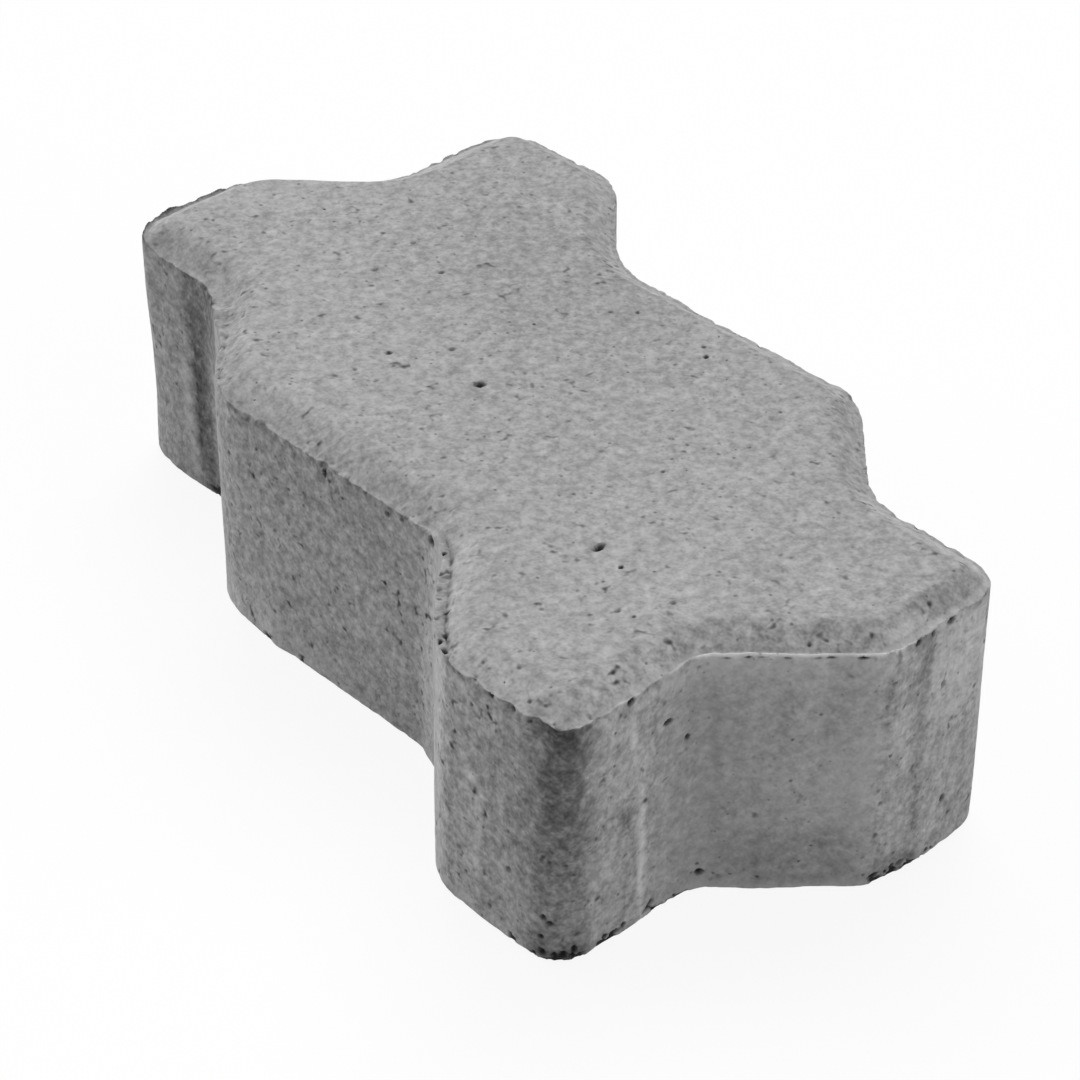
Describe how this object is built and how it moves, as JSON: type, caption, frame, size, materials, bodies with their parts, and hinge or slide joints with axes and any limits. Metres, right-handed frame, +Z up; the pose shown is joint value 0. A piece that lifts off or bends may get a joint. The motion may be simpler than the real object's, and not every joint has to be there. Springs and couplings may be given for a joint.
{
  "type": "paving stone",
  "caption": "Wave-sided interlocking concrete paving stone, chamfered round the top, cast in one piece.",
  "frame": {"origin": "middle of the underside, on the level floor that the stone lies on", "axes": "+Z up out of the chamfered walking face, +Y along the stone's two modules, +X across its one module"},
  "size_m": [0.13, 0.2426, 0.07],
  "materials": {
    "concrete": "matt, vibration-pressed, fine open grain with small pores"
  },
  "bodies": {
    "root": {"paving_stone": "concrete"}
  },
  "joints": []
}
